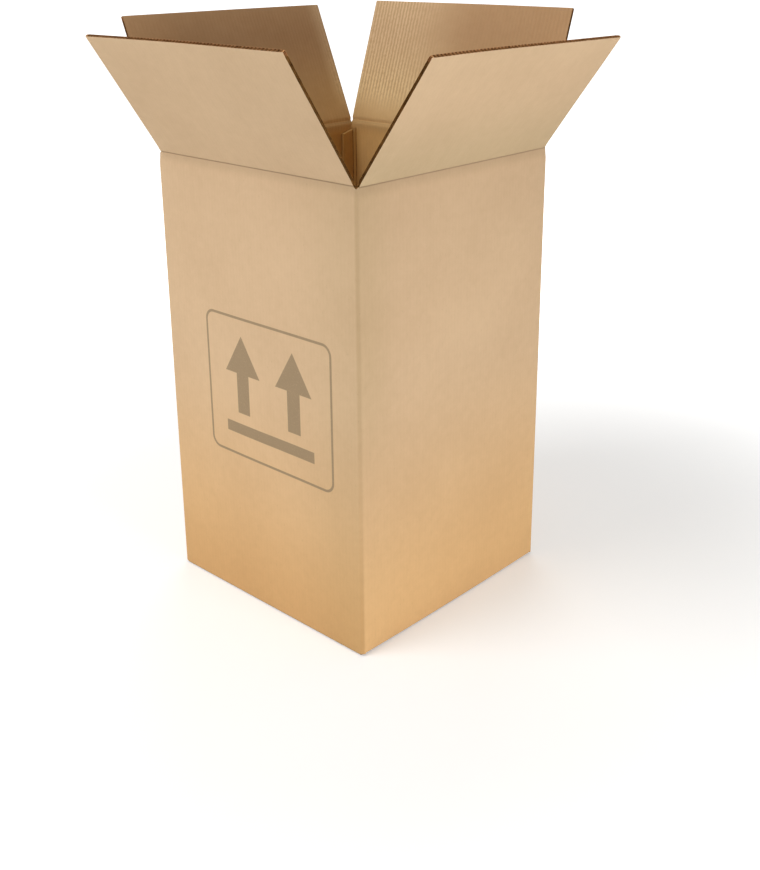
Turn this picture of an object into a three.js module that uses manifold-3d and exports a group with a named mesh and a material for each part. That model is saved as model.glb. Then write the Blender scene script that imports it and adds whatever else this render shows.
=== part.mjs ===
// A tall moving box of double-wall corrugated board, set up and open at the top.
//
// One creased sheet makes the four walls, the glue tab and all the flaps. Top and bottom alike, the
// front and back walls carry the outer flaps and the side walls the inner ones. The bottom flaps are
// folded shut and taped. Each top flap swings on its crease, so it is a piece of its own.
//
// Millimetres, +Z up. The printed front wall faces -Y and the right wall faces +X. The origin is on
// the floor under the middle of the box.

import * as THREE from 'three';
import { mergeVertices } from 'three/addons/utils/BufferGeometryUtils.js';
import Module from 'manifold-3d';

const wasm = await Module();
wasm.setup();

// The space inside: 18 x 18 x 30 inches, from the floor flaps to the closed top flaps
const insideLength = 457.2; // along X
const insideWidth = 457.2; // along Y
const insideHeight = 762;

// The board and its folds
const board = 6.5;
const uprightFold = 6.5; // outside radius of the four upright corners
const bottomFold = 4; // outside radius along the bottom edges
const insideFold = 1; // inside radius of every fold
const layerGap = 0.3; // between flaps that lie on each other
const seam = 1; // between two flaps that meet in the middle
const flapSide = 0.6; // between a closed flap's sides and the walls beside it
const slotDepth = 4; // how far the corner slots run past the creases

// The glued joint in the back left corner
const tabWidth = 30;
const tabTaper = 8; // the tab is this much shorter at its free edge, top and bottom
const tabClearance = 3; // from the ends of the tab to the flaps
const glueLine = 0.3;
const rawEdgeSetback = 1; // the left wall's cut edge stops short of the back wall's face

// The crease under each top flap, where the board is crushed thin
const creaseRound = 0.5; // half the thickness of the edge that the flap turns on
const creaseGap = 0.3; // from that edge to the wall below
const lipThickness = 2; // the crushed top of the wall
const lipChamfer = 0.2; // its outer edge
const crushRun = 2; // the flap's outer face starts this far up from the hinge
const foldedBackGap = 0.3; // to the wall, with the flap turned right down outside

// How far each top flap leans out from upright, in degrees
const frontLean = 33;
const rightLean = 36;
const backLean = 18;
const leftLean = 22;

// The tape along the bottom seam
const tapeWidth = 50;
const tapeThickness = 0.2;
const tapeEnd = 8; // bare board past each end of the tape

const arcSteps = 4;
const cutMargin = 1; // how far the cuts run out past the board

// Heights from the floor
const outerFlapFloor = tapeThickness;
const innerFlapFloor = outerFlapFloor + board + layerGap;
const insideFloor = innerFlapFloor + board;
const layerStep = (board + layerGap) / 2; // from the creases to the face of a closed flap
const creaseHeight = insideFloor + insideHeight + board + layerStep;

// Half the box, to the outside of the walls
const halfLength = insideLength / 2 + board;
const halfWidth = insideWidth / 2 + board;

// Every side is drawn as the right wall, reaching out along X, and then turned about Z
const sides = [
  { name: 'right', turn: 0, reach: halfLength, span: insideWidth, outer: false, lean: rightLean },
  { name: 'back', turn: 90, reach: halfWidth, span: insideLength, outer: true, lean: backLean },
  { name: 'left', turn: 180, reach: halfLength, span: insideWidth, outer: false, lean: leftLean },
  { name: 'front', turn: 270, reach: halfWidth, span: insideLength, outer: true, lean: frontLean },
];

const kraft = { color: 0xcda77a, roughness: 0.85, metalness: 0 };
const kraftLight = { color: 0xd2ac7e, roughness: 0.85, metalness: 0 };
const tapeFilm = { color: 0xb98a52, roughness: 0.35, metalness: 0 };

// A closed outline from corners [x, y] or, where the corner is rounded, [x, y, radius]
function outline(corners) {
  const shape = new THREE.Shape();
  corners.forEach(([x, y, radius = 0], i) => {
    const corner = new THREE.Vector2(x, y);
    if (radius === 0) {
      if (i === 0) shape.moveTo(x, y);
      else shape.lineTo(x, y);
      return;
    }
    const toward = ([nextX, nextY]) => new THREE.Vector2(nextX, nextY).sub(corner).normalize();
    const back = toward(corners.at(i - 1));
    const ahead = toward(corners[(i + 1) % corners.length]);
    const halfAngle = Math.acos(back.dot(ahead)) / 2;
    const tangent = radius / Math.tan(halfAngle);
    const inward = back.clone().add(ahead).normalize();
    const centre = inward.multiplyScalar(radius / Math.sin(halfAngle)).add(corner);
    const start = back.multiplyScalar(tangent).add(corner).sub(centre);
    const end = ahead.clone().multiplyScalar(tangent).add(corner).sub(centre);
    const clockwise = start.cross(end) < 0;
    shape.absarc(centre.x, centre.y, radius, start.angle(), end.angle(), clockwise);
  });
  return shape;
}

function extrude(corners, depth) {
  const settings = { depth, bevelEnabled: false, curveSegments: arcSteps };
  return new THREE.ExtrudeGeometry(outline(corners), settings);
}

// A bar whose section is drawn as [x, z] and which runs along Y, centred
function bar(corners, length) {
  return extrude(corners, length).translate(0, 0, -length / 2).rotateX(Math.PI / 2);
}

function solid(geometry) {
  geometry.deleteAttribute('normal');
  geometry.deleteAttribute('uv');
  const merged = mergeVertices(geometry);
  return new wasm.Manifold(new wasm.Mesh({
    numProp: 3,
    vertProperties: merged.attributes.position.array,
    triVerts: new Uint32Array(merged.index.array),
  }));
}

function geometryOf(manifold) {
  const mesh = manifold.getMesh();
  const geometry = new THREE.BufferGeometry();
  geometry.setAttribute('position', new THREE.BufferAttribute(mesh.vertProperties, 3));
  geometry.setIndex(new THREE.BufferAttribute(mesh.triVerts, 1));
  geometry.computeVertexNormals();
  return geometry;
}

// The same bar as a solid on one side of the box, its section measured from the wall's outer face
function onSide(side, corners, length) {
  const placed = bar(corners, length).translate(side.reach, 0, 0);
  return solid(placed.rotateZ(THREE.MathUtils.degToRad(side.turn)));
}

const flapWidth = (side) => side.span - 2 * flapSide;

// The hinge of a top flap. Closed, the flap's outer face lies a layer step above the crease on an
// outer flap and below it on an inner one. Turned right down outside, it lies along the wall. An
// outer flap as it stands also meets the wall's face at the crease, and an inner flap turns on its
// own outer face. out is from the wall's outer face, up is from the floor, and cover is the board
// outside the hinge.
function hingeOf(side) {
  const sine = Math.sin(THREE.MathUtils.degToRad(side.lean));
  const cosine = Math.cos(THREE.MathUtils.degToRad(side.lean));
  const closedFace = side.outer ? layerStep : -layerStep;
  const meeting = (closedFace * sine - foldedBackGap * cosine) / (1 + sine + cosine);
  const cover = side.outer ? meeting : 0;
  return { out: foldedBackGap + cover, up: creaseHeight + closedFace - cover, cover };
}

// The crushed top of a wall: a thin lip under the hinge, and a slope down to the inner face that
// the flap's own slope comes down on as it closes
function wallLip(side) {
  const hinge = hingeOf(side);
  const outerEdge = Math.min(hinge.out + lipThickness / 2, 0);
  const innerEdge = outerEdge - lipThickness;
  const top = hinge.up - creaseRound - creaseGap;
  return { outerEdge, innerEdge, top };
}

// What is cut off above a wall, so that its lip and slope are left
function aboveWall(side) {
  const { outerEdge, innerEdge, top } = wallLip(side);
  const inside = -board - glueLine / 2;
  const clear = top + 3 * board;
  const chamferFoot = top - lipChamfer + 2 * outerEdge;
  const section = [
    [inside, top - (innerEdge - inside)],
    [innerEdge, top],
    [outerEdge - (outerEdge < 0 ? 0 : lipChamfer), top],
    [0, chamferFoot],
    [cutMargin, chamferFoot],
    [cutMargin, clear],
    [inside, clear],
  ];
  return onSide(side, section, flapWidth(side));
}

// The square at an upright corner that the slots clear, above the creases
function cornerSlot(signX, signY) {
  const size = board + flapSide + cutMargin;
  const height = 4 * board;
  const slot = new THREE.BoxGeometry(size, size, height);
  const x = signX * (insideLength / 2 - flapSide + size / 2);
  const y = signY * (insideWidth / 2 - flapSide + size / 2);
  return solid(slot.translate(x, y, creaseHeight - slotDepth + height / 2));
}

const tabFace = -halfLength + board + glueLine; // the tab's glued face
const tabRoot = halfWidth - board;
const tabFreeEdge = tabRoot - tabWidth;

// What is cut off beyond one end of the glue tab. toward is -1 below it and 1 above it.
function tabTrim(rootHeight, toward) {
  const beyond = toward > 0 ? creaseHeight + 3 * board : 0;
  const slope = tabTaper / tabWidth;
  const section = [
    [tabFreeEdge - cutMargin, beyond],
    [tabRoot, beyond],
    [tabRoot, rootHeight],
    [tabFreeEdge - cutMargin, rootHeight - toward * slope * (tabWidth + cutMargin)],
  ];
  const depth = board + glueLine / 2 + cutMargin;
  const trim = extrude(toward > 0 ? section.reverse() : section, depth);
  // drawn in Y and Z, so its X and Y are turned to those and its depth to X
  trim.applyMatrix4(new THREE.Matrix4().makeBasis(
    new THREE.Vector3(0, 1, 0),
    new THREE.Vector3(0, 0, 1),
    new THREE.Vector3(1, 0, 0),
  ));
  return solid(trim.translate(tabFace - glueLine / 2, 0, 0));
}

// The four walls and the glue tab, in one run of board with four folds round the box and a fifth
// into the tab
function walls() {
  const bottom = outerFlapFloor + slotDepth;
  const height = creaseHeight + 2 * board - bottom;
  const plan = [
    [-halfLength, halfWidth - rawEdgeSetback],
    [-halfLength, -halfWidth, uprightFold],
    [halfLength, -halfWidth, uprightFold],
    [halfLength, halfWidth, uprightFold],
    [tabFace, halfWidth, uprightFold],
    [tabFace, tabFreeEdge],
    [tabFace + board, tabFreeEdge],
    [tabFace + board, tabRoot, insideFold],
    [halfLength - board, halfWidth - board, insideFold],
    [halfLength - board, board - halfWidth, insideFold],
    [board - halfLength, board - halfWidth, insideFold],
    [board - halfLength, halfWidth - rawEdgeSetback],
  ];
  let run = solid(extrude(plan, height).translate(0, 0, bottom));
  run = run.subtract(tabTrim(insideFloor + tabClearance, -1));
  run = run.subtract(tabTrim(creaseHeight - layerStep - board - tabClearance, 1));
  for (const side of sides) run = run.subtract(aboveWall(side));
  for (const signX of [-1, 1]) {
    for (const signY of [-1, 1]) run = run.subtract(cornerSlot(signX, signY));
  }
  return run;
}

// A bottom flap with the foot of its wall. An outer flap folds straight in along the floor. An
// inner flap leaves its wall higher, over the outer flaps, and the foot of the wall stands below it.
function bottomFlap(side) {
  const join = insideFloor + slotDepth;
  const tip = seam / 2 - side.reach;
  const underside = side.outer ? outerFlapFloor : innerFlapFloor;
  const foot = side.outer ? [[0, underside, bottomFold]] : [
    [0, 0, bottomFold],
    [-board, 0, insideFold],
    [-board, underside],
  ];
  return onSide(side, [
    [0, join],
    ...foot,
    [tip, underside],
    [tip, underside + board],
    [-board, underside + board, insideFold],
    [-board, join],
  ], flapWidth(side));
}

function boxBody() {
  const sheet = sides.reduce((body, side) => body.add(bottomFlap(side)), walls());
  const mesh = new THREE.Mesh(geometryOf(sheet), new THREE.MeshStandardMaterial(kraft));
  mesh.name = 'box_body';
  return mesh;
}

// A top flap, drawn upright on its hinge with its outer face to +X and then leaned out. Closed, its
// tip stops half a seam short of the middle of the box.
function topFlap(side) {
  const hinge = hingeOf(side);
  const { innerEdge } = wallLip(side);
  const outerFace = hinge.cover;
  const innerFace = outerFace - board;
  const tip = side.reach + hinge.out - seam / 2;
  const slopeStart = hinge.out - innerEdge;
  const section = [
    [outerFace, tip],
    [outerFace, crushRun],
    [creaseRound, 0],
    [creaseRound / 2, -creaseRound],
    [-creaseRound / 2, -creaseRound],
    [-creaseRound, 0],
    [-creaseRound, slopeStart],
    [innerFace, slopeStart - creaseRound - innerFace],
    [innerFace, tip],
  ];
  const material = new THREE.MeshStandardMaterial(kraftLight);
  const mesh = new THREE.Mesh(bar(section, flapWidth(side)), material);
  mesh.name = `flap_${side.name}`;
  mesh.position.set(side.reach + hinge.out, 0, hinge.up);
  mesh.rotation.y = THREE.MathUtils.degToRad(side.lean);
  const turned = new THREE.Group();
  turned.rotation.z = THREE.MathUtils.degToRad(side.turn);
  turned.add(mesh);
  return turned;
}

// One strip of tape under the seam between the outer bottom flaps
function bottomTape() {
  const length = insideLength - 2 * flapSide - 2 * tapeEnd;
  const strip = new THREE.BoxGeometry(length, tapeWidth, tapeThickness);
  const mesh = new THREE.Mesh(strip, new THREE.MeshStandardMaterial(tapeFilm));
  mesh.name = 'bottom_tape';
  mesh.position.z = tapeThickness / 2;
  return mesh;
}

const movingBox = new THREE.Group();
movingBox.add(boxBody(), bottomTape(), ...sides.map(topFlap));

export default movingBox;
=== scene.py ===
import math

import bpy
from mathutils import Matrix, Vector, noise


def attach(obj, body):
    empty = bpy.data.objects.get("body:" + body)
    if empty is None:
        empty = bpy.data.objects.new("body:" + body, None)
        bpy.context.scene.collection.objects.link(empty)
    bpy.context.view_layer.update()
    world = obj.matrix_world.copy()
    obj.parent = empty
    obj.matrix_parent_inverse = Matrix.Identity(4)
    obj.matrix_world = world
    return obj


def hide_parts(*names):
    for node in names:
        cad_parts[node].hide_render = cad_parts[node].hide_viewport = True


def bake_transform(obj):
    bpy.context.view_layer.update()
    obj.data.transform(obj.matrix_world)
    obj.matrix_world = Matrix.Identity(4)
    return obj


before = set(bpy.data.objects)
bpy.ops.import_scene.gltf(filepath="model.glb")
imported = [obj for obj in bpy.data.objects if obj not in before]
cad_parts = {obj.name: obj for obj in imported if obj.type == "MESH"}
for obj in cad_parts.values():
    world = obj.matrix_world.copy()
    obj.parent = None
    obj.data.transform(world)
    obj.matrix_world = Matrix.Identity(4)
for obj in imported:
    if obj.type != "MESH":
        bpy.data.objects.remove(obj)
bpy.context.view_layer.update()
mm = 0.001

# The sheet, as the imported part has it
sheet = {
    "half": 235.1 * mm,  # from the middle to the outside of a wall
    "board": 6.5 * mm,
    "crease": 785.4 * mm,  # height of the creases under the outer flaps
    "innerDrop": 2.0 * mm,  # the inner flaps are creased a little lower
    "flapHalf": 228.0 * mm,  # half a flap's width
    "seam": 0.5 * mm,  # each closed flap stops this short of the middle
    "tabFace": -228.3 * mm,  # the glue tab's outer face, along X
    "tabWidth": 30.0 * mm,
    "rawEdgeSetback": 1.0 * mm,
    "joinAbove": 22.0 * mm,  # the top flaps' pieces start this far below the crease
    "joinBelow": 20.0 * mm,  # height where the bottom flaps' pieces end
    "slotTop": 0.8 * mm,  # the corners' cut tops end this far below the crease
    "slotNotch": 3.0 * mm,  # and dip this much in the middle
    "slotBottom": 4.2 * mm,
    "drawIn": 1.5 * mm,  # the walls are drawn in this much at the crease
    "drawInRun": 20.0 * mm,  # over this height
}
foldRadius = sheet["half"] - sheet["flapHalf"]  # outside, at the upright corners
tabFold = sheet["tabFace"] + foldRadius  # where the back wall starts to curve into the tab

# Each side is modelled as the right wall, reaching out along X, and then turned about Z
sides = {
    "right": {"turn": 0, "lean": 36, "outer": False, "bulge": 1.4 * mm},
    "back": {"turn": 90, "lean": 18, "outer": True, "bulge": 1.0 * mm},
    "left": {"turn": 180, "lean": 22, "outer": False, "bulge": 1.8 * mm},
    "front": {"turn": 270, "lean": 33, "outer": True, "bulge": 1.2 * mm},
}
alongWall = Vector((0, 1, 0))
upward = Vector((0, 0, 1))
touch = 0.05 * mm  # a face or corner this near a plane lies on it
sharpAngle = 30  # degrees: a fold sharper than this keeps its edge in the shading


def smooth(t):
    t = min(max(t, 0.0), 1.0)
    return t * t * (3 - 2 * t)


def drawnIn(height):
    start = sheet["crease"] - sheet["joinAbove"]
    return sheet["drawIn"] * smooth((height - start) / sheet["drawInRun"])


def tabCurve(y):
    # how far the back wall has curved in towards the glue tab
    return foldRadius - math.sqrt(max(foldRadius ** 2 - (y + tabFold) ** 2, 0))


# Modelling helpers


def toObjectMode():
    if bpy.context.mode != "OBJECT":
        bpy.ops.object.mode_set(mode="OBJECT")


def deselectAll():
    toObjectMode()
    bpy.ops.object.select_all(action="DESELECT")


def makeActive(piece):
    deselectAll()
    piece.select_set(True)
    bpy.context.view_layer.objects.active = piece


def drawLine(name, points):
    # one point, extruded from corner to corner
    deselectAll()
    bpy.ops.mesh.primitive_plane_add(size=2 * mm)
    piece = bpy.context.object
    piece.name = name
    piece.data.name = name
    bpy.ops.object.mode_set(mode="EDIT")
    bpy.context.tool_settings.mesh_select_mode = (True, False, False)
    bpy.ops.mesh.select_all(action="SELECT")
    bpy.ops.mesh.merge(type="CENTER")
    bpy.ops.transform.translate(value=points[0])
    for here, there in zip(points, points[1:]):
        step = [b - a for a, b in zip(here, there)]
        bpy.ops.mesh.extrude_vertices_move(TRANSFORM_OT_translate={"value": step})
    return piece


def extrudeSelected(step):
    bpy.ops.mesh.extrude_region_move(TRANSFORM_OT_translate={"value": step})


def sweepLine(name, line, axis, stations):
    # a closed line is filled and pushed along an axis, station by station
    piece = drawLine(name, line)
    bpy.ops.mesh.select_all(action="SELECT")
    bpy.ops.mesh.edge_face_add()
    bpy.context.tool_settings.mesh_select_mode = (False, False, True)
    bpy.ops.mesh.select_all(action="SELECT")
    for here, there in zip(stations, stations[1:]):
        extrudeSelected(tuple(axis * (there - here)))
    bpy.ops.mesh.select_all(action="SELECT")
    bpy.ops.mesh.normals_make_consistent(inside=False)
    toObjectMode()
    return piece


def sweepSection(name, section, stations):
    # a section in X and Z, pushed along the wall
    return sweepLine(name, [(x, stations[0], z) for x, _, z in section], alongWall, stations)


def selectFaces(piece, wanted):
    toObjectMode()
    bpy.context.tool_settings.mesh_select_mode = (False, False, True)
    makeActive(piece)
    bpy.ops.object.mode_set(mode="EDIT")
    bpy.ops.mesh.select_all(action="DESELECT")
    bpy.ops.object.mode_set(mode="OBJECT")
    for face in piece.data.polygons:
        face.select = wanted(face)
    bpy.ops.object.mode_set(mode="EDIT")


def applyModifier(piece, kind, **settings):
    makeActive(piece)
    modifier = piece.modifiers.new(kind.title(), kind)
    for key, value in settings.items():
        setattr(modifier, key, value)
    bpy.ops.object.modifier_apply(modifier=modifier.name)


def applyPlace(piece):
    makeActive(piece)
    bpy.ops.object.transform_apply(location=True, rotation=True, scale=True)


def turnPiece(piece, turn):
    piece.rotation_euler.z = math.radians(turn)
    applyPlace(piece)


def joinInto(piece, extras):
    makeActive(piece)
    for extra in extras:
        extra.select_set(True)
    bpy.ops.object.join()


def shadeSmooth(piece):
    makeActive(piece)
    bpy.ops.object.shade_smooth_by_angle(angle=math.radians(sharpAngle))


def setMaterials(piece, materials):
    piece.data.materials.clear()
    for material in materials:
        piece.data.materials.append(material)


def layOutSheet(piece, place):
    # the sheet's own coordinates, in metres: across the flutes and along them
    mesh = piece.data
    layer = mesh.uv_layers[0] if mesh.uv_layers else mesh.uv_layers.new()
    layer.name = "sheet"
    for face in mesh.polygons:
        for index in face.loop_indices:
            layer.data[index].uv = place(mesh.vertices[mesh.loops[index].vertex_index].co, face)


# Writing materials


class Graph:
    # a short way to write nodes
    def __init__(self, tree):
        self.tree = tree
        self.column = 0

    def add(self, kind, **settings):
        node = self.tree.nodes.new(kind)
        self.column += 1
        node.location = (-180 * (self.column % 14) - 200, -220 * (self.column // 14))
        for key, value in settings.items():
            setattr(node, key, value)
        return node

    def put(self, socket, value):
        if isinstance(value, bpy.types.NodeSocket):
            self.tree.links.new(value, socket)
        else:
            socket.default_value = value

    def math(self, operation, *values):
        node = self.add("ShaderNodeMath", operation=operation)
        for socket, value in zip(node.inputs, values):
            self.put(socket, value)
        return node.outputs[0]

    def times(self, first, *others):
        # the product of any number of values
        for other in others:
            first = self.math("MULTIPLY", first, other)
        return first

    def addShares(self, *pairs):
        # the sum of values, each with its weight
        total = 0.0
        for value, weight in pairs:
            total = self.math("MULTIPLY_ADD", value, weight, total)
        return total

    def ramp(self, value, low, high):
        # 0 at low, 1 at high, eased between them
        node = self.add("ShaderNodeMapRange", interpolation_type="SMOOTHSTEP")
        self.put(node.inputs["Value"], value)
        self.put(node.inputs["From Min"], low)
        self.put(node.inputs["From Max"], high)
        return node.outputs[0]

    def where(self, measures, ranges):
        # 1 where every range is full, eased to 0 outside them
        return self.times(*(self.ramp(measures[name], low, high) for name, low, high in ranges))

    def noise(self, vector, scale, detail, roughness):
        node = self.add("ShaderNodeTexNoise")
        self.put(node.inputs["Vector"], vector)
        self.put(node.inputs["Scale"], scale)
        self.put(node.inputs["Detail"], detail)
        self.put(node.inputs["Roughness"], roughness)
        return node.outputs["Fac"]

    def pattern(self, vector, kind):
        # a noise from its scale, detail and roughness, finer or drawn out by its size
        if "size" in kind:
            node = self.add("ShaderNodeMapping")
            self.put(node.inputs["Vector"], vector)
            self.put(node.inputs["Scale"], kind["size"])
            vector = node.outputs[0]
        return self.noise(vector, *kind["noise"])

    def mix(self, factor, first, second, blend="MIX"):
        node = self.add("ShaderNodeMix", data_type="RGBA", blend_type=blend)
        self.put(node.inputs["Factor"], factor)
        self.put(node.inputs[6], first)  # the colour sockets A and B
        self.put(node.inputs[7], second)
        return node.outputs[2]

    def tint(self, factor, colour, tint):
        return self.mix(factor, colour, tint, "MULTIPLY")

    def split(self, vector):
        node = self.add("ShaderNodeSeparateXYZ")
        self.put(node.inputs[0], vector)
        return node.outputs[0], node.outputs[1], node.outputs[2]

    def bump(self, height):
        # height in metres
        node = self.add("ShaderNodeBump")
        self.put(node.inputs["Height"], height)
        self.put(node.inputs["Distance"], 1.0)
        return node.outputs[0]


def newMaterial(name):
    material = bpy.data.materials.new(name)
    material.use_nodes = True
    graph = Graph(material.node_tree)
    return material, graph, graph.tree.nodes["Principled BSDF"]


def setMatte(shader, roughness, specular):
    shader.inputs["Roughness"].default_value = roughness
    shader.inputs["Specular IOR Level"].default_value = specular


def objectPlace(graph):
    return graph.add("ShaderNodeTexCoord").outputs["Object"]


def sheetPlace(graph):
    across, along, _ = graph.split(graph.add("ShaderNodeUVMap", uv_map="sheet").outputs[0])
    return across, along


def darker(colour, share):
    return tuple(c * share for c in colour[:3]) + (1,)


# The mark printed on the front wall: two arrows over a bar, in a rounded frame

mark = {
    "ink": (0.300, 0.215, 0.125, 1),
    "centreX": 24 * mm,
    "centreZ": 404 * mm,
    "halfWidth": 132 * mm,
    "halfHeight": 107 * mm,
    "corner": 18 * mm,
    "frameLine": 4.5 * mm,
    "arrowGap": 62 * mm,
    "shaft": 15 * mm,
    "shaftFoot": -46 * mm,
    "headFoot": 26 * mm,
    "headTop": 94 * mm,
    "headHalf": 43 * mm,
    "barHalf": 108 * mm,
    "barTop": -66 * mm,
    "barFoot": -86 * mm,
    "softness": 0.5 * mm,
    "faceDepth": 3 * mm,  # only on what lies this near the front
    "worn": {"noise": (420.0, 3.0, 0.7), "range": (0.30, 0.46)},
    "coverWorn": 0.68,  # how much ink is left where it is worn
    "coverMore": 0.22,  # and how much more elsewhere
}


def printedMark(graph, place):
    placeX, placeY, placeZ = graph.split(place)
    x = graph.math("SUBTRACT", placeX, mark["centreX"])
    z = graph.math("SUBTRACT", placeZ, mark["centreZ"])
    soft = mark["softness"]

    def within(value, limit):
        return graph.ramp(value, limit + soft, limit - soft)

    def beyond(value, limit):
        return graph.ramp(value, limit - soft, limit + soft)

    def past(value, limit):
        return graph.math("MAXIMUM", graph.math("SUBTRACT", value, limit), 0.0)

    sideways = graph.math("ABSOLUTE", x)
    upright = graph.math("ABSOLUTE", z)
    cornerX = past(sideways, mark["halfWidth"])
    cornerZ = past(upright, mark["halfHeight"])
    reach = graph.math("ADD", graph.times(cornerX, cornerX), graph.times(cornerZ, cornerZ))
    line = graph.math("SUBTRACT", graph.math("SQRT", reach), mark["corner"])
    frameInk = within(graph.math("ABSOLUTE", line), mark["frameLine"] / 2)

    fromArrow = graph.math("ABSOLUTE", graph.math("SUBTRACT", sideways, mark["arrowGap"]))
    shaftInk = graph.times(within(fromArrow, mark["shaft"]), beyond(z, mark["shaftFoot"]),
                           within(z, mark["headFoot"] + soft))
    slope = mark["headHalf"] / (mark["headTop"] - mark["headFoot"])
    headEdge = graph.times(graph.math("SUBTRACT", mark["headTop"], z), slope)
    headInk = graph.times(within(graph.math("SUBTRACT", fromArrow, headEdge), 0.0),
                          beyond(z, mark["headFoot"]))
    barInk = graph.times(within(sideways, mark["barHalf"]), beyond(z, mark["barFoot"]),
                         within(z, mark["barTop"]))
    ink = graph.math("MAXIMUM", graph.math("MAXIMUM", frameInk, shaftInk),
                     graph.math("MAXIMUM", headInk, barInk))
    frontOnly = graph.math("LESS_THAN", placeY, -sheet["half"] + mark["faceDepth"])
    worn = graph.ramp(graph.pattern(place, mark["worn"]), *mark["worn"]["range"])
    cover = graph.math("MULTIPLY_ADD", worn, mark["coverMore"], mark["coverWorn"])
    return graph.times(ink, frontOnly, cover)


# The board's two liners

liners = {
    "outer": {
        "light": (0.690, 0.486, 0.296, 1),
        "dark": (0.610, 0.420, 0.250, 1),
        "washboard": 0.022 * mm,  # height of the ribs that the flutes make
        "ribTone": 0.02,  # how much lighter their tops are, as painted light and shade
        "foldShade": 0.42,  # how much painted shade darkens the fold line
    },
    "inner": {
        "light": (0.610, 0.405, 0.215, 1),
        "dark": (0.530, 0.335, 0.165, 1),
        "washboard": 0.26 * mm,
        "ribTone": 0.035,
        "foldShade": 0.12,
    },
}

board = {
    "toneRange": (0.28, 0.82),
    "cloud": {"noise": (5.0, 3.0, 0.5), "tone": 0.55, "relief": 0.8 * mm},
    "mottle": {"noise": (60.0, 4.0, 0.6), "tone": 0.35, "relief": 0.10 * mm},
    "fibre": {"noise": (900.0, 3.0, 0.65), "size": (1, 1, 0.16), "tone": 0.22, "relief": 0.05 * mm},
    "fleck": {"noise": (330.0, 2.0, 0.7), "size": (1, 1, 0.35), "range": (0.66, 0.76)},
    "fleckShare": 0.22,
    "fleckShade": 0.62,
    "flutePitch": 7.8 * mm,
    "leftRib": 0.45,  # the ribs are flatter on the left flap
    "leftRibRange": (-200 * mm, -240 * mm),
    "roughness": 0.86,
    "specular": 0.25,
}

# Painted shade: a shaded band below each crease, darkest on the fold line
paintedCreaseShade = {
    "band": [("along", -19 * mm, -3 * mm), ("along", 2.5 * mm, 0.5 * mm)],
    "bandShade": 0.21,
    "fold": [("fromCrease", 1.7 * mm, 0.3 * mm)],
    "shade": 0.45,
}

# Each tint multiplies the board's colour where all its ranges are full. A range runs from none to
# full. Along is measured from the crease, up the flap. Nearest is the smaller of x and y, without
# their signs.
onWall = ("along", 4 * mm, 0.0)
onFront = ("y", -229 * mm, -232 * mm)
onRight = ("x", 229 * mm, 232 * mm)
outerTints = {
    "flaps": {"colour": (0.965, 0.985, 1.0, 1), "ranges": [("along", 0.0, 4 * mm)]},
    # painted warm bounce light, stronger towards the walls' foot
    "foot": {"colour": (1.12, 0.985, 0.735, 1), "ranges": [("z", 0.50, 0.0)]},
    # painted contact shadow along the bottom edge
    "paintedContactShadow": {"colour": (0.42, 0.38, 0.34, 1), "ranges": [("z", 4 * mm, 1 * mm)]},
    # painted shade, darker on the front wall's lower part
    "paintedFrontFootShade": {"colour": (0.90, 0.87, 0.83, 1), "ranges": [onWall, onFront, ("z", 0.26, 0.0)]},
    # painted shade on the front wall towards the near fold
    "paintedFrontCornerShade": {
        "colour": (0.93, 0.94, 0.92, 1),
        "ranges": [onWall, onFront, ("x", 60 * mm, 228 * mm)],
    },
    # painted shade on the right wall's upper part towards the near fold
    "paintedRightCornerShade": {
        "colour": (0.925, 0.935, 0.90, 1),
        "ranges": [onWall, onRight, ("y", -130 * mm, -228 * mm), ("z", 0.26, 0.50)],
    },
    # painted shade: the upper walls darker
    "top": {"colour": (0.925, 0.925, 0.93, 1), "ranges": [onWall, ("z", 0.50, sheet["crease"])]},
    # painted shade: the right flap darker near its crease
    "paintedRightFlapShade": {
        "colour": (0.865, 0.90, 0.87, 1),
        "ranges": [("x", 230 * mm, 233 * mm), ("along", 0.0, 2 * mm), ("along", 170 * mm, 0.0)],
    },
    # painted shade along the upright folds
    "paintedUprightFoldShade": {
        "colour": (0.94, 0.92, 0.91, 1),
        "ranges": [("nearest", 227.2 * mm, 232.6 * mm),
                   ("z", sheet["crease"], sheet["crease"] - 8 * mm)],
    },
}

inside = {
    "paintedRootLight": (1.11, 1.11, 0.97, 1),  # painted light: paler at the flaps' creases
    "tipTint": (0.88, 0.81, 0.79, 1),  # and painted shade, darker towards their tips
    "tipRange": (12 * mm, 190 * mm),
    "paintedWallBounce": (1.14, 1.06, 0.76, 1),  # painted warm bounce light, more golden on the walls
    "wallRange": (12 * mm, -25 * mm),
    "paintedLeftShadow": (0.80, 0.74, 0.58, 1),  # painted shadow: darker and browner on the left wall and the glue tab
    "paintedLeftShadowRanges": [("x", -200 * mm, -221 * mm), ("along", -8 * mm, -24 * mm)],
    "paintedHighlight": (1.42, 1.64, 1.88, 1),  # painted highlight: one end of the back flap is paler
    "paintedHighlightRanges": [("x", 40 * mm, -150 * mm), ("y", 190 * mm, 230 * mm), ("along", 4 * mm, 80 * mm)],
    "paintedHighlightRibShade": 0.78,  # and its ribs show in painted shade, broken by the grain
    "grain": {"noise": (320.0, 2.0, 0.6), "size": (1, 1, 0.5)},
    "grainShare": 4.0,
    "ridgeRange": (1.3, 2.7),
}


def fluteWave(graph, across):
    return graph.math("SINE", graph.times(across, 2 * math.pi / board["flutePitch"]))


def paintOutsideShadeAndPrint(graph, colour, place, measures):
    # painted light and shade from the tints above, then the printed mark
    for tint in outerTints.values():
        colour = graph.tint(graph.where(measures, tint["ranges"]), colour, tint["colour"])
    return graph.mix(printedMark(graph, place), colour, mark["ink"])


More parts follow.
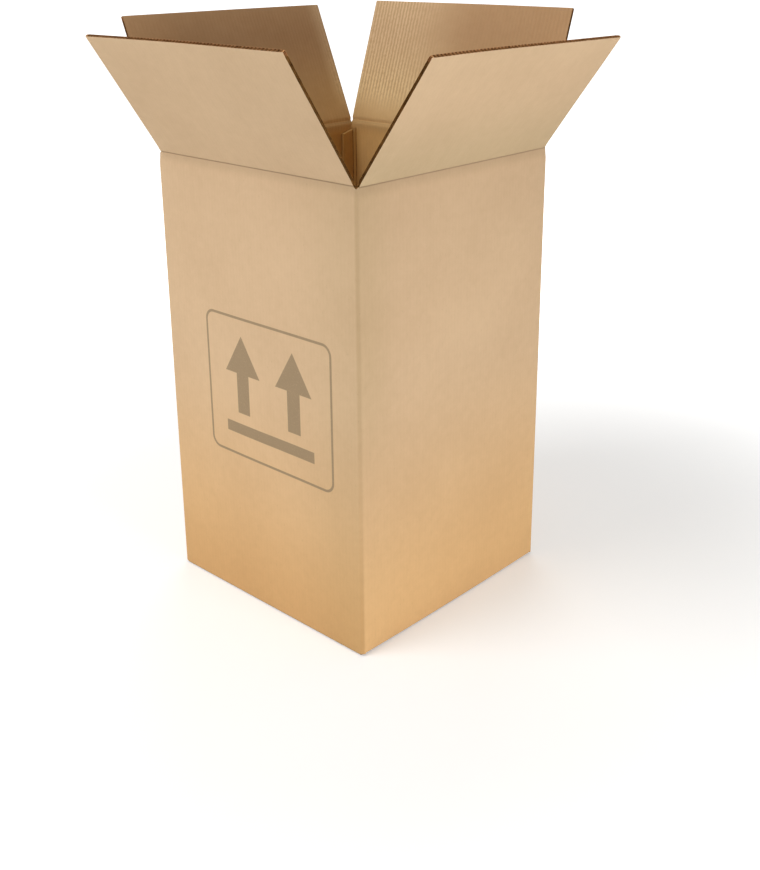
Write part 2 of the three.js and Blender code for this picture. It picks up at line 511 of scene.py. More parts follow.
def paintInsideLightAndShade(graph, colour, place, measures, wave):
    # painted light and shade on the inner liner: paler creases, darker tips, warm bounce on the
    # walls, a shadow on the left wall, and a highlight with shaded ribs on the back flap
    along = measures["along"]
    tint = graph.mix(graph.ramp(along, *inside["tipRange"]), inside["paintedRootLight"], inside["tipTint"])
    tint = graph.mix(graph.ramp(along, *inside["wallRange"]), tint, inside["paintedWallBounce"])
    colour = graph.tint(1.0, colour, tint)
    colour = graph.tint(graph.where(measures, inside["paintedLeftShadowRanges"]), colour, inside["paintedLeftShadow"])
    highlightMask = graph.where(measures, inside["paintedHighlightRanges"])
    colour = graph.tint(highlightMask, colour, inside["paintedHighlight"])
    grain = graph.pattern(place, inside["grain"])
    ridge = graph.math("MULTIPLY_ADD", grain, inside["grainShare"], wave)
    highlightRibShade = graph.times(highlightMask, graph.ramp(ridge, *inside["ridgeRange"]), inside["paintedHighlightRibShade"])
    return graph.mix(highlightRibShade, colour, liners["inner"]["dark"])


def makeLiner(name):
    liner = liners[name]
    dark = liner["dark"]
    material, graph, shader = newMaterial(f"{name}Liner")
    place = objectPlace(graph)
    across, along = sheetPlace(graph)
    x, y, z = graph.split(place)
    measures = {"x": x, "y": y, "z": z, "along": along}
    measures["fromCrease"] = graph.math("ABSOLUTE", along)
    measures["nearest"] = graph.math("MINIMUM", graph.math("ABSOLUTE", x), graph.math("ABSOLUTE", y))

    leftward = graph.ramp(x, *board["leftRibRange"])
    flatter = graph.math("MULTIPLY_ADD", leftward, board["leftRib"] - 1, 1.0)
    wave = graph.times(fluteWave(graph, across), flatter)
    kinds = [board["mottle"], board["cloud"], board["fibre"]]
    patterns = [(graph.pattern(place, kind), kind) for kind in kinds]

    tones = [(value, kind["tone"]) for value, kind in patterns]
    tone = graph.addShares(*tones, (wave, liner["ribTone"]))
    colour = graph.mix(graph.ramp(tone, *board["toneRange"]), dark, liner["light"])
    fleck = graph.ramp(graph.pattern(place, board["fleck"]), *board["fleck"]["range"])
    fleck = graph.times(fleck, board["fleckShare"])
    colour = graph.mix(fleck, colour, darker(dark, board["fleckShade"]))
    # painted shade below the creases and on their fold lines
    shade = graph.addShares((graph.where(measures, paintedCreaseShade["band"]), paintedCreaseShade["bandShade"]),
                            (graph.where(measures, paintedCreaseShade["fold"]), liner["foldShade"]))
    colour = graph.mix(shade, colour, darker(dark, paintedCreaseShade["shade"]))
    if name == "outer":
        colour = paintOutsideShadeAndPrint(graph, colour, place, measures)
    else:
        colour = paintInsideLightAndShade(graph, colour, place, measures, wave)
    graph.put(shader.inputs["Base Color"], colour)

    reliefs = [(value, kind["relief"]) for value, kind in patterns]
    height = graph.addShares((wave, liner["washboard"] / 2), *reliefs)
    graph.put(shader.inputs["Normal"], graph.bump(height))
    setMatte(shader, board["roughness"], board["specular"])
    return material


# The cut edges, torn by the knife, with the flutes' ends showing at the flaps' tips

cut = {
    "light": (0.350, 0.176, 0.050, 1),
    "dark": (0.135, 0.058, 0.012, 1),
    "tipTint": (1.62, 1.62, 2.35, 1),
    "tipRange": (226 * mm, 228 * mm),
    "tipFlutes": 0.13,
    "torn": {"noise": (700.0, 4.0, 0.7)},
    "patch": {"noise": (90.0, 2.0, 0.5)},
    "share": 0.5,  # of each of the two in the tone
    "toneRange": (0.35, 0.65),
    "relief": 0.25 * mm,
    "roughness": 0.93,
    "specular": 0.15,
}


def makeCutEdge():
    material, graph, shader = newMaterial("cutEdge")
    place = objectPlace(graph)
    across, along = sheetPlace(graph)
    torn = graph.pattern(place, cut["torn"])
    patch = graph.pattern(place, cut["patch"])
    tip = graph.ramp(along, *cut["tipRange"])
    flutes = graph.times(fluteWave(graph, across), tip)
    tone = graph.addShares((flutes, cut["tipFlutes"]), (torn, cut["share"]), (patch, cut["share"]))
    colour = graph.mix(graph.ramp(tone, *cut["toneRange"]), cut["dark"], cut["light"])
    graph.put(shader.inputs["Base Color"], graph.tint(tip, colour, cut["tipTint"]))
    graph.put(shader.inputs["Normal"], graph.bump(graph.times(torn, cut["relief"])))
    setMatte(shader, cut["roughness"], cut["specular"])
    return material


outerLiner = makeLiner("outer")
innerLiner = makeLiner("inner")
cutEdge = makeCutEdge()
boardMaterials = [outerLiner, innerLiner, cutEdge]
outerFace, innerFace, cutFace = 0, 1, 2  # their places in that list
print("materials made")


# The four walls with the glue tab, from a line drawn round the plan

walls = {
    "segments": 10,  # along each wall
    "cornerSegments": 6,
    "tabSegments": 4,
    "rings": 9,  # up the walls
    "topLevels": [-18, -14, -10, -7, -4],  # mm from the crease
    "tabTaper": 8 * mm,
    "tabTaperRun": 120 * mm,
    "tabTop": 14 * mm,  # below the crease
    "tabCutTop": 12.9 * mm,  # faces past these two are cut off the tab
    "tabCutFoot": 12.5 * mm,
    "tabBand": 1 * mm,  # faces and corners this near the tab's outside belong to it
    "sideBand": 3 * mm,  # the same for the side walls
    "endBand": 8 * mm,  # and for the front and back walls, with the curve into the tab
    "endSlack": 0.25 * mm,
    "roll": 0.5 * mm,  # uneven swell of the walls
    "rollAlong": 7,  # how often it changes
    "rollUp": 6,
}


def planLine():
    half, flapHalf = sheet["half"], sheet["flapHalf"]

    def straight(start, end):
        count = walls["segments"]
        return [tuple(a + (b - a) * k / count for a, b in zip(start, end)) for k in range(count + 1)]

    def corner(centre, fromAngle):
        count = walls["cornerSegments"]
        angles = [math.radians(fromAngle + 90 * k / count) for k in range(1, count)]
        return [(centre[0] + foldRadius * math.cos(a), centre[1] + foldRadius * math.sin(a))
                for a in angles]

    points = [(-half, half - sheet["rawEdgeSetback"])]
    points += straight((-half, flapHalf), (-half, -flapHalf))
    points += corner((-flapHalf, -flapHalf), 180)
    points += straight((-flapHalf, -half), (flapHalf, -half))
    points += corner((flapHalf, -flapHalf), 270)
    points += straight((half, -flapHalf), (half, flapHalf))
    points += corner((flapHalf, flapHalf), 0)
    points += straight((flapHalf, half), (tabFold, half))
    points += corner((tabFold, flapHalf), 90)
    run = flapHalf - (half - sheet["board"] - sheet["tabWidth"])
    count = walls["tabSegments"]
    points += [(sheet["tabFace"], flapHalf - k * run / count) for k in range(count + 1)]
    return points


def cutFromWalls(face):
    # what the flaps' own pieces make, and what lies past the ends of the tab
    c = face.center
    foot, join = sheet["joinBelow"], sheet["crease"] - sheet["joinAbove"]
    if abs(c.x - sheet["tabFace"]) < walls["tabBand"] and 0 < c.y < sheet["flapHalf"]:
        return c.z > sheet["crease"] - walls["tabCutTop"] or c.z < walls["tabCutFoot"]
    half, flapHalf = sheet["half"], sheet["flapHalf"]
    onSide = abs(c.x) > half - walls["sideBand"] and abs(c.y) < flapHalf
    onEnd = abs(c.y) > half - walls["endBand"] and abs(c.x) < flapHalf + walls["endSlack"]
    return (onSide or onEnd) and (c.z < foot or c.z > join)


def swellOut(co):
    # the walls swell a little between their folds
    foot, join = sheet["joinBelow"], sheet["crease"] - sheet["joinAbove"]
    if not foot < co.z < join:
        return
    up = math.sin(math.pi * (co.z - foot) / (join - foot)) ** 2
    for side in sides.values():
        turn = math.radians(side["turn"])
        out = co.x * math.cos(turn) + co.y * math.sin(turn)
        along = -co.x * math.sin(turn) + co.y * math.cos(turn)
        if abs(out - sheet["half"]) < touch and abs(along) < sheet["flapHalf"]:
            bell = math.cos(math.pi * along / sheet["flapHalf"] / 2) ** 2
            where = Vector((along * walls["rollAlong"], co.z * walls["rollUp"], side["turn"]))
            roll = noise.noise(where)
            push = up * (side["bulge"] * bell + 2 * walls["roll"] * roll * min(1, 3 * bell))
            co.x += push * math.cos(turn)
            co.y += push * math.sin(turn)
            return


def drawTopIn(co):
    # the walls are drawn in at the top, and the slot between two flaps ends in a notch
    draw = drawnIn(co.z)
    if draw > 0:
        shareX = min(max((abs(co.x) - sheet["flapHalf"]) / foldRadius, 0), 1)
        shareY = min(max((abs(co.y) - sheet["flapHalf"]) / foldRadius, 0), 1)
        co.x -= math.copysign(draw * shareX, co.x)
        co.y -= math.copysign(draw * shareY, co.y)
        if co.z > sheet["crease"] - sheet["slotTop"] - touch:
            co.z -= sheet["slotNotch"] * (1 - abs(shareX - shareY))


def slopeTabEnds(co):
    # the tab's ends slope back to its free edge
    root = sheet["half"] - sheet["board"]
    if abs(co.x - sheet["tabFace"]) < walls["tabBand"] and 0 < co.y < root:
        drop = walls["tabTaper"] * (root - co.y) / sheet["tabWidth"]
        top, foot, run = sheet["crease"] - walls["tabTop"], sheet["joinBelow"], walls["tabTaperRun"]
        co.z -= drop * smooth((co.z - top) / run + 1)
        co.z += drop * smooth((foot - co.z) / run + 1)


def makeWalls():
    foot, join = sheet["joinBelow"], sheet["crease"] - sheet["joinAbove"]
    piece = drawLine("walls", [(x, y, sheet["slotBottom"]) for x, y in planLine()])
    bpy.context.tool_settings.mesh_select_mode = (False, True, False)
    bpy.ops.mesh.select_all(action="SELECT")
    levels = [foot + (join - foot) * k / walls["rings"] for k in range(walls["rings"] + 1)]
    levels += [sheet["crease"] + d * mm for d in walls["topLevels"]]
    levels.append(sheet["crease"] - sheet["slotTop"])
    height = sheet["slotBottom"]
    for level in levels:
        extrudeSelected((0, 0, level - height))
        height = level
    selectFaces(piece, cutFromWalls)
    bpy.ops.mesh.delete(type="FACE")
    toObjectMode()
    for vertex in piece.data.vertices:
        swellOut(vertex.co)
        drawTopIn(vertex.co)
        slopeTabEnds(vertex.co)

    # the faces have to look out before the sheet gets its thickness
    makeActive(piece)
    facing = sum(face.normal.dot(face.center) for face in piece.data.polygons)
    if facing < 0:
        bpy.ops.object.mode_set(mode="EDIT")
        bpy.ops.mesh.select_all(action="SELECT")
        bpy.ops.mesh.flip_normals()
        toObjectMode()
    setMaterials(piece, boardMaterials)
    applyModifier(piece, "SOLIDIFY", thickness=sheet["board"], offset=-1, use_even_offset=True,
                  material_offset=innerFace, material_offset_rim=cutFace)

    # the glue tab is crushed, so its sloped ends and its free edge show only liner
    for face in piece.data.polygons:
        c, n = face.center, face.normal
        inTab = sheet["tabFace"] < c.x < sheet["tabFace"] + sheet["board"]
        if inTab and 0 < c.y < sheet["half"] - sheet["board"] and (abs(n.z) > 0.5 or n.y < -0.5):
            face.material_index = innerFace

    def place(co, face):
        across = co.y if abs(face.normal.x) > abs(face.normal.y) else co.x
        return across, co.z - sheet["crease"]

    layOutSheet(piece, place)
    shadeSmooth(piece)
    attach(piece, "box")
    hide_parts("box_body")


# The beads that the inner liner makes along the upright folds inside

bead = {
    "radius": 4.0 * mm,
    "crevice": 1.3 * mm,  # the crevice on each side, painted dark as shade
    "lift": 0.2 * mm,
    "arcSteps": 6,
    "arcFrom": 4,  # degrees
    "arc": 82,
    "foot": 15.5 * mm,
    "bend": 17 * mm,  # below the crease
    "top": 11.5 * mm,  # below it too
}


def beadSection():
    # from the corner: the crevice on one side, the round and the other crevice
    radius, lift = bead["radius"], bead["lift"]
    wide = radius + bead["crevice"]
    section = [(0, 0), (wide, 0), (wide, lift)]
    for k in range(bead["arcSteps"] + 1):
        angle = math.radians(bead["arcFrom"] + bead["arc"] * k / bead["arcSteps"])
        section.append((radius * math.cos(angle), radius * math.sin(angle)))
    return section + [(lift, wide), (0, wide)]


def makeFoldBeads():
    wall = sheet["half"] - sheet["board"]
    corners = [(wall, wall), (wall, -wall), (-wall, -wall), (sheet["tabFace"] + sheet["board"], wall)]
    crease = sheet["crease"]
    levels = [bead["foot"], crease - sheet["joinAbove"], crease - bead["bend"], crease - bead["top"]]
    strips = []
    for number, (cornerX, cornerY) in enumerate(corners):
        signX, signY = math.copysign(1, cornerX), math.copysign(1, cornerY)
        line = [(cornerX - signX * u, cornerY - signY * v, levels[0]) for u, v in beadSection()]
        strip = sweepLine(f"foldBead{number}", line, upward, levels)
        # painted shade: the crevices beside the round take the cut edge's dark colour
        setMaterials(strip, [innerLiner, cutEdge])
        for face in strip.data.polygons:
            reachX, reachY = abs(face.center.x - cornerX), abs(face.center.y - cornerY)
            face.material_index = 1 if max(reachX, reachY) > bead["radius"] else 0
        strips.append(strip)
    piece = strips[0]
    joinInto(piece, strips[1:])
    piece.name = "foldBeads"
    for vertex in piece.data.vertices:
        co = vertex.co
        draw = drawnIn(co.z)
        co.x -= math.copysign(draw, co.x)
        co.y -= math.copysign(draw, co.y)
    layOutSheet(piece, lambda co, face: (co.x + co.y, co.z - crease))
    shadeSmooth(piece)
    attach(piece, "box")


# The top flaps: each starts on its wall, bends over its crease and runs to its cut tip

flap = {
    "wallSteps": [-22, -18, -14, -10, -7, -4.5],  # mm from the outer flaps' crease
    "creaseSteps": [-3, -1.5, 0, 1.5, 3, 4.5, 7, 10, 14, 20],  # mm from the flap's own crease
    "leastStep": 0.4,  # mm between the two
    "flatSteps": 6,
    "tipSteps": [5, 3, 1.2],  # mm, before the tip
    "endSteps": [228, 226, 224, 221],  # mm, towards each side edge
    "alongSteps": 10,
    "groove": 0.8 * mm,  # depth of the fold line outside
    "grooveHalf": 1.5 * mm,
    "crush": 2.8 * mm,  # the board is this much thinner at the crease
    "crushHalf": 3.4 * mm,
    "crushAt": 2.0 * mm,  # the inner liner folds this far above the crease
    "bendHalf": 3.5 * mm,
    "linerFrom": 2.6 * mm,  # past this depth a face belongs to the inner liner
    "curl": 1.2 * mm,
    "curlRest": 0.4,  # with the middle drawn back by this share of it
    "wave": 1.5 * mm,  # uneven, over the whole flap
    "waveSeed": 3.3,
    "waveAlong": 4,
    "waveOut": 5,
    "blendHalf": 6.5 * mm,
}

# The knife leaves the board thinner along its cuts
pinch = {
    "side": 0.22,
    "sideFrom": 221 * mm,
    "sideRun": 7 * mm,
    "rootRun": 12 * mm,
    "tip": 0.12,
    "tipRun": 5 * mm,
}

# The cut edges are open between the liners, with flutes and a middle liner in them
flute = {
    "outer": {"waves": 69, "height": 2.25 * mm},  # the fine flute, next to the outer liner
    "inner": {"waves": 57, "height": 2.95 * mm},
    "steps": 8,  # in one wave
    "paper": 0.22 * mm,
    "run": 447 * mm,
    "liner": 0.45 * mm,
    "edgeDepth": 2.5 * mm,  # the edges are hollow this far in
    "tipDepth": 6.0 * mm,
    "tipHalf": 224 * mm,  # half the length of the opened tip
    "rim": 0.01 * mm,
    "weld": 0.02 * mm,
    "flutesBack": 0.25 * mm,  # from the tip
    "flutesShort": 0.4 * mm,  # of the bottom of the hollow
    "middleBack": 0.15 * mm,
    "middleHalf": 223.5 * mm,
    "edgeFrom": 8 * mm,  # from the crease
    "edgeBack": 1 * mm,
    "edgeInner": 225.3 * mm,
    "edgeOuter": 227.8 * mm,
}


def creaseOf(side):
    return sheet["crease"] - (0 if side["outer"] else sheet["innerDrop"])


def flapReach():
    return sheet["half"] - sheet["seam"]


def flapFrame(side):
    # where it starts, the way it runs, the way its outer face looks, and halfway from the wall
    lean = math.radians(side["lean"])
    foot = Vector((sheet["half"] - sheet["drawIn"], 0, creaseOf(side)))
    ahead = Vector((math.sin(lean), 0, math.cos(lean)))
    outward = Vector((math.cos(lean), 0, -math.sin(lean)))
    halfway = Vector((math.sin(lean / 2), 0, math.cos(lean / 2)))
    return foot, ahead, outward, halfway


def topSection(side):
    # closed section in X and Z: up the outer face, over the tip and down the inner face
    lean = math.radians(side["lean"])
    crease = creaseOf(side)
    foot = sheet["half"] - sheet["drawIn"]
    steps = [sheet["crease"] - crease + d * mm for d in flap["wallSteps"]]
    steps = [s for s in steps if s < (flap["creaseSteps"][0] - flap["leastStep"]) * mm]
    steps += [d * mm for d in flap["creaseSteps"]]
    length = flapReach()
    flat = steps[-1]
    last = length - flap["tipSteps"][0] * mm
    steps += [flat + (last - flat) * k / flap["flatSteps"] for k in range(1, flap["flatSteps"])]
    steps += [length - d * mm for d in flap["tipSteps"]] + [length]

    outer, inner = [], []
    for s in steps:
        if s < 0:
            x, z = sheet["half"] - drawnIn(crease + s), crease + s
        else:
            x, z = foot + s * math.sin(lean), crease + s * math.cos(lean)
        groove = flap["groove"] * max(0, 1 - abs(s) / flap["grooveHalf"])
        outer.append((x - groove * math.cos(lean / 2), 0, z + groove * math.sin(lean / 2)))
        crushed = math.exp(-(((s - flap["crushAt"]) / flap["crushHalf"]) ** 2))
        thin = sheet["board"] - flap["crush"] * crushed
        turn = lean * smooth((s + flap["bendHalf"]) / (2 * flap["bendHalf"]))
        inner.append((x - thin * math.cos(turn), 0, z + thin * math.sin(turn)))
    return outer + inner[::-1]


def flapStations():
    ends = [d * mm for d in flap["endSteps"]]
    last = ends[-1]
    middle = [-last + 2 * last * k / flap["alongSteps"] for k in range(1, flap["alongSteps"])]
    return [-d for d in ends] + middle + ends[::-1]


def setAllCut(piece):
    setMaterials(piece, boardMaterials)
    for face in piece.data.polygons:
        face.material_index = cutFace


def fluteRibbon(name, waves, height):
    # one wave, drawn and pushed down, then repeated along the tip
    pitch = flute["run"] / waves
    count = flute["steps"]
    points = []
    for k in range(count + 1):
        points.append((height / 2 * math.sin(2 * math.pi * k / count), pitch * k / count, 0))
    piece = drawLine(name, points)
    bpy.context.tool_settings.mesh_select_mode = (False, True, False)
    bpy.ops.mesh.select_all(action="SELECT")
    extrudeSelected((0, 0, flute["flutesShort"] - flute["tipDepth"]))
    applyModifier(piece, "ARRAY", count=waves, use_relative_offset=False, use_constant_offset=True,
                  constant_offset_displace=(0, pitch, 0), use_merge_vertices=True,
                  merge_threshold=flute["weld"])
    applyModifier(piece, "SOLIDIFY", thickness=flute["paper"], offset=0)
    setAllCut(piece)
    return piece


def fillCutEdges(name, side):
    # flutes and the middle liner in the tip, and the middle liner along the side edges
    foot, ahead, outward, _ = flapFrame(side)
    length = flapReach()
    half = flute["paper"] / 2
    outerHeight, innerHeight = flute["outer"]["height"], flute["inner"]["height"]
    middle = flute["liner"] + outerHeight + flute["paper"] * 1.5
    depths = {
        "outer": flute["liner"] + outerHeight / 2 + half,
        "inner": sheet["board"] - flute["liner"] - innerHeight / 2 - half,
    }
    extras = []
    for kind, depth in depths.items():
        ribbon = fluteRibbon(f"{name}{kind}Flute", flute[kind]["waves"], flute[kind]["height"])
        ribbon.location = foot + ahead * (length - flute["flutesBack"]) - outward * depth
        ribbon.location.y -= flute["run"] / 2
        ribbon.rotation_euler.y = math.radians(side["lean"])
        extras.append(ribbon)

    def strip(stripName, low, high, stations):
        corners = [foot + ahead * s - outward * (middle + d)
                   for s, d in ((low, -half), (high, -half), (high, half), (low, half))]
        piece = sweepSection(stripName, corners, stations)
        setAllCut(piece)
        extras.append(piece)

    strip(f"{name}MiddleLiner", length - flute["tipDepth"], length - flute["middleBack"],
          [-flute["middleHalf"], flute["middleHalf"]])
    for sign in (-1, 1):
        strip(f"{name}EdgeLiner", flute["edgeFrom"], length - flute["edgeBack"],
              sorted([sign * flute["edgeInner"], sign * flute["edgeOuter"]]))
    for extra in extras:
        applyPlace(extra)
    return extras


def hollowOut(depth):
    # the faces in hand are set in by the liners' thickness and pushed in
    bpy.ops.mesh.inset(thickness=flute["liner"], depth=0, use_even_offset=True)
    bpy.ops.mesh.inset(thickness=flute["rim"], depth=-depth, use_even_offset=True)


def bendTopFlap(piece, name, side):
    foot, ahead, outward, _ = flapFrame(side)
    length = flapReach()
    for vertex in piece.data.vertices:
        co = vertex.co
        s = (co - foot).dot(ahead)
        # its cut edges are pinched
        if s > 0:
            fromMiddle = (co - foot).dot(outward) + sheet["board"] / 2
            nearSide = smooth((abs(co.y) - pinch["sideFrom"]) / pinch["sideRun"])
            nearTip = smooth((s - length) / pinch["tipRun"] + 1)
            share = pinch["side"] * nearSide * smooth(s / pinch["rootRun"]) + pinch["tip"] * nearTip
            co -= outward * fromMiddle * share
        # and it is not quite flat
        share = co.y / sheet["flapHalf"]
        seed = side["turn"] + flap["waveSeed"]
        roll = noise.noise(Vector((co.y * flap["waveAlong"], s * flap["waveOut"], seed)))
        curl = flap["curl"] * (share * share - flap["curlRest"]) + flap["wave"] * roll
        co += outward * curl * smooth(s / length)
        # the back wall curves into the glue tab under its flap
        if name == "back" and co.y > -tabFold and co.z < foot.z:
            co.x -= tabCurve(co.y) * smooth((foot.z - co.z) / sheet["joinAbove"])


def makeTopFlap(name, side):
    foot, ahead, outward, halfway = flapFrame(side)
    length = flapReach()
    piece = sweepSection(f"{name}TopFlap", topSection(side), flapStations())
    setMaterials(piece, boardMaterials)

    def isTip(face):
        return (face.center - foot).dot(ahead) > length - touch

    def isCutSide(face):
        return abs(face.center.y) > sheet["flapHalf"] - touch

    for face in piece.data.polygons:
        onFlap = face.center.z > foot.z
        depth = (face.center - foot).dot(outward) if onFlap else face.center.x - foot.x
        face.material_index = outerFace if depth > -flap["linerFrom"] else innerFace
        if isTip(face) or isCutSide(face):
            face.material_index = cutFace
    selectFaces(piece, isCutSide)
    hollowOut(flute["edgeDepth"])
    selectFaces(piece, lambda face: isTip(face) and abs(face.center.y) < flute["tipHalf"])
    hollowOut(flute["tipDepth"])
    toObjectMode()
    joinInto(piece, fillCutEdges(name, side))

    def place(co, face):
        # along the sheet from the crease, the same on wall and flap
        return co.y, (co - foot).dot(halfway) / math.cos(math.radians(side["lean"]) / 2)

    layOutSheet(piece, place)
    bendTopFlap(piece, name, side)
    turnPiece(piece, side["turn"])
    shadeSmooth(piece)
    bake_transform(piece)
    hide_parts(f"flap_{name}")


# The bottom flaps: from each wall's foot, round its fold and in to the middle seam

bottom = {
    "outerFold": 5.0 * mm,
    "innerFold": 4.5 * mm,
    "foldSteps": 4,
    "flatSteps": 5,
    "outerUnderside": 0.2 * mm,
    "innerUnderside": 7.0 * mm,
    "foot": 3.0 * mm,  # the side walls' folds stand off the floor at the corners
    "sag": 2.4 * mm,  # and come down to it between them
    "sagIn": 6.9 * mm,  # as far in as the folds go
    "sagFrom": 14 * mm,
    "sagRun": 12 * mm,
    "lip": [(6.0, 0.5), (6.8, 1.8)],  # mm in and up, where such a fold rises to its flap
    "lipIn": 7.0 * mm,
    "insideFold": [(1.2, 0), (0.3, 0.3), (0, 1.2)],  # mm in and up, inside every fold
    "curveFrom": 7 * mm,  # the back flap's fold meets the curve into the glue tab here
    "curveRun": 13 * mm,
    "wrap": 8 * mm,  # the fold takes up this much of the sheet
    "insideRise": 2 * mm,  # faces that look in, this far over the underside, are inner liner
}


def bottomSection(side):
    half, thick, join = sheet["half"], sheet["board"], sheet["joinBelow"]
    if side["outer"]:
        radius, foot, under = bottom["outerFold"], bottom["outerUnderside"], bottom["outerUnderside"]
    else:
        radius, foot, under = bottom["innerFold"], bottom["foot"], bottom["innerUnderside"]
    points = [(half, join)]
    for k in range(bottom["foldSteps"] + 1):
        angle = math.radians(90 * k / bottom["foldSteps"])
        x, z = half - radius * (1 - math.cos(angle)), foot + radius * (1 - math.sin(angle))
        points.append((x, z))
    if not side["outer"]:
        points += [(half - x * mm, foot + z * mm) for x, z in bottom["lip"]]
        points.append((half - bottom["lipIn"], under))
    count = bottom["flatSteps"]
    inward = [half - (half - sheet["seam"]) * k / count for k in range(1, count + 1)]
    points += [(x, under) for x in inward]
    points += [(x, under + thick) for x in inward[::-1]]
    points += [(half - thick - x * mm, under + thick + z * mm) for x, z in bottom["insideFold"]]
    points.append((half - thick, join))
    return [(x, 0, z) for x, z in points]


def makeBottomFlap(name, side):
    piece = sweepSection(f"{name}BottomFlap", bottomSection(side), flapStations())
    setMaterials(piece, boardMaterials)
    half = sheet["half"]
    under = bottom["outerUnderside"] if side["outer"] else bottom["innerUnderside"]
    for face in piece.data.polygons:
        c, n = face.center, face.normal
        if abs(c.y) > sheet["flapHalf"] - touch or c.x < sheet["seam"] + touch:
            face.material_index = cutFace
        elif n.z > 0.5 or (n.x < -0.5 and c.z > under + bottom["insideRise"]):
            face.material_index = innerFace
        else:
            face.material_index = outerFace

    def place(co, face):
        return co.y, co.z - sheet["crease"] - max(0, half - bottom["wrap"] - co.x)

    layOutSheet(piece, place)
    for vertex in piece.data.vertices:
        co = vertex.co
        if not side["outer"] and co.x > half - bottom["sagIn"]:
            share = 1 - (co.y / sheet["flapHalf"]) ** 2
            co.z -= bottom["sag"] * share * smooth((bottom["sagFrom"] - co.z) / bottom["sagRun"])
        if name == "back" and co.y > -tabFold and co.z > bottom["curveFrom"]:
            co.x -= tabCurve(co.y) * smooth((co.z - bottom["curveFrom"]) / bottom["curveRun"])
    turnPiece(piece, side["turn"])
    shadeSmooth(piece)
    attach(piece, "box")
    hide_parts("box_body")


makeWalls()
makeFoldBeads()
print("walls made")
for sideName, sideFacts in sides.items():
    makeTopFlap(sideName, sideFacts)
    print(f"{sideName} top flap made")
    makeBottomFlap(sideName, sideFacts)
print("bottom flaps made")


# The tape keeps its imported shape

tape = {
    "film": (0.440, 0.250, 0.095, 1),
    "filmLight": (0.520, 0.310, 0.130, 1),
    "long": {"noise": (60.0, 3.0, 0.5), "size": (0.4, 6, 1)},
    "fine": {"noise": (300.0, 2.0, 0.5), "size": (1, 12, 1)},
    "toneRange": (0.35, 0.65),
    "crinkle": 0.02 * mm,
    "roughness": 0.28,
}


def makeTapeFilm():
    material, graph, shader = newMaterial("tapeFilm")
    place = objectPlace(graph)
    long = graph.pattern(place, tape["long"])
    fine = graph.pattern(place, tape["fine"])
    colour = graph.mix(graph.ramp(long, *tape["toneRange"]), tape["film"], tape["filmLight"])
    graph.put(shader.inputs["Base Color"], colour)
    height = graph.times(graph.math("ADD", long, fine), tape["crinkle"])
    graph.put(shader.inputs["Normal"], graph.bump(height))
    shader.inputs["Roughness"].default_value = tape["roughness"]
    return material


setMaterials(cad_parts["bottom_tape"], [makeTapeFilm()])
print("tape finished")


# Studio

studio = {
    "floorSize": 80,
    "floorColour": (0.86, 0.86, 0.85, 1),
    "floorRoughness": 0.9,
    "floorLift": 0.30,  # how far the floor near the box is lifted to white
    "liftRange": (0.6, 2.0),  # past the second distance it is all white
    "white": (1, 1, 1, 1),
    "worldStrength": 0.36,
    "aim": (0, 0, 0.45),
}

lamps = {
    "key": {"at": (-0.8, -2.2, 3.0), "size": 1.8, "power": 55},
    "low": {"at": (-0.8, -3.0, 0.55), "size": 1.2, "power": 17},
    "right": {"at": (3.1, -0.2, 0.55), "size": 1.1, "power": 40},
    "behind": {"at": (-2.1, 2.5, 1.8), "size": 2.2, "power": 34},
}

camera = {
    "at": (1.38546, -1.40885, 1.11728),
    "right": (0.7310526, 0.68228587, -0.00693428),
    "up": (-0.21644469, 0.24152912, 0.94594682),
    "back": (0.64708098, -0.690036, 0.32424764),
    "width": 760,  # pixels, down to centreY
    "height": 870,
    "focal": 1160.55,
    "centreX": 382.58,
    "centreY": 340.0,
    "sensor": 36,
    "clipEnd": 200,
}


def seenAsWhite(graph):
    # 1 for the rays that show the background, 0 for those that light the box
    path = graph.add("ShaderNodeLightPath").outputs
    mirrored = graph.math("MAXIMUM", path["Is Glossy Ray"], path["Is Transmission Ray"])
    return graph.math("MAXIMUM", path["Is Camera Ray"], mirrored)


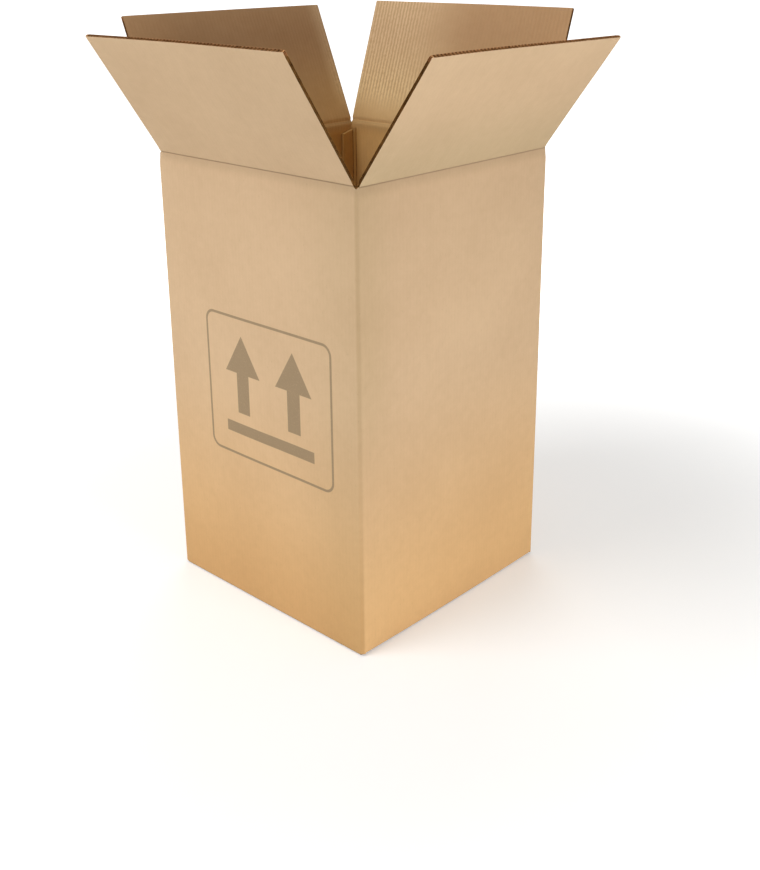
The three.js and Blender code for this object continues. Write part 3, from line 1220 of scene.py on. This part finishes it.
def makeFloor():
    deselectAll()
    bpy.ops.mesh.primitive_plane_add(size=studio["floorSize"])
    floor = bpy.context.object
    floor.name = "floor"
    material, graph, shader = newMaterial("floorPaper")
    shader.inputs["Base Color"].default_value = studio["floorColour"]
    setMatte(shader, studio["floorRoughness"], 0.0)
    away = graph.add("ShaderNodeVectorMath", operation="LENGTH")
    graph.put(away.inputs[0], objectPlace(graph))
    far = graph.ramp(away.outputs["Value"], *studio["liftRange"])
    lift = graph.math("MULTIPLY_ADD", far, 1 - studio["floorLift"], studio["floorLift"])
    white = graph.add("ShaderNodeEmission")
    graph.put(white.inputs["Strength"], graph.times(seenAsWhite(graph), lift))
    both = graph.add("ShaderNodeAddShader")
    graph.put(both.inputs[0], shader.outputs[0])
    graph.put(both.inputs[1], white.outputs[0])
    graph.put(graph.tree.nodes["Material Output"].inputs["Surface"], both.outputs[0])
    setMaterials(floor, [material])


def makeWorld():
    world = bpy.data.worlds.new("studioWorld")
    bpy.context.scene.world = world
    world.use_nodes = True
    graph = Graph(world.node_tree)
    light = graph.tree.nodes["Background"]
    light.inputs["Color"].default_value = studio["white"]
    light.inputs["Strength"].default_value = studio["worldStrength"]
    white = graph.add("ShaderNodeBackground")
    white.inputs["Color"].default_value = studio["white"]
    both = graph.add("ShaderNodeMixShader")
    graph.put(both.inputs[0], seenAsWhite(graph))
    graph.put(both.inputs[1], light.outputs[0])
    graph.put(both.inputs[2], white.outputs[0])
    graph.put(graph.tree.nodes["World Output"].inputs["Surface"], both.outputs[0])


def makeLamps():
    for lampName, lamp in lamps.items():
        bpy.ops.object.light_add(type="AREA", location=lamp["at"])
        light = bpy.context.object
        light.name = f"{lampName}Lamp"
        light.data.energy = lamp["power"]
        light.data.size = lamp["size"]
        aim = Vector(studio["aim"]) - Vector(lamp["at"])
        light.rotation_euler = aim.to_track_quat("-Z", "Y").to_euler()


def makeCamera():
    bpy.ops.object.camera_add()
    seen = bpy.context.object
    seen.name = "photoCamera"
    axes = Matrix((camera["right"], camera["up"], camera["back"])).transposed().to_4x4()
    seen.matrix_world = Matrix.Translation(camera["at"]) @ axes
    width, height = camera["width"], camera["height"]
    seen.data.sensor_fit = "VERTICAL"
    seen.data.sensor_height = camera["sensor"]
    seen.data.lens = camera["focal"] * camera["sensor"] / height
    seen.data.shift_x = (width / 2 - camera["centreX"]) / height
    seen.data.shift_y = (camera["centreY"] - height / 2) / height
    seen.data.clip_end = camera["clipEnd"]
    bpy.context.scene.camera = seen


makeFloor()
makeWorld()
makeLamps()
makeCamera()
bpy.context.scene.view_settings.view_transform = "Standard"
print("studio and camera set")
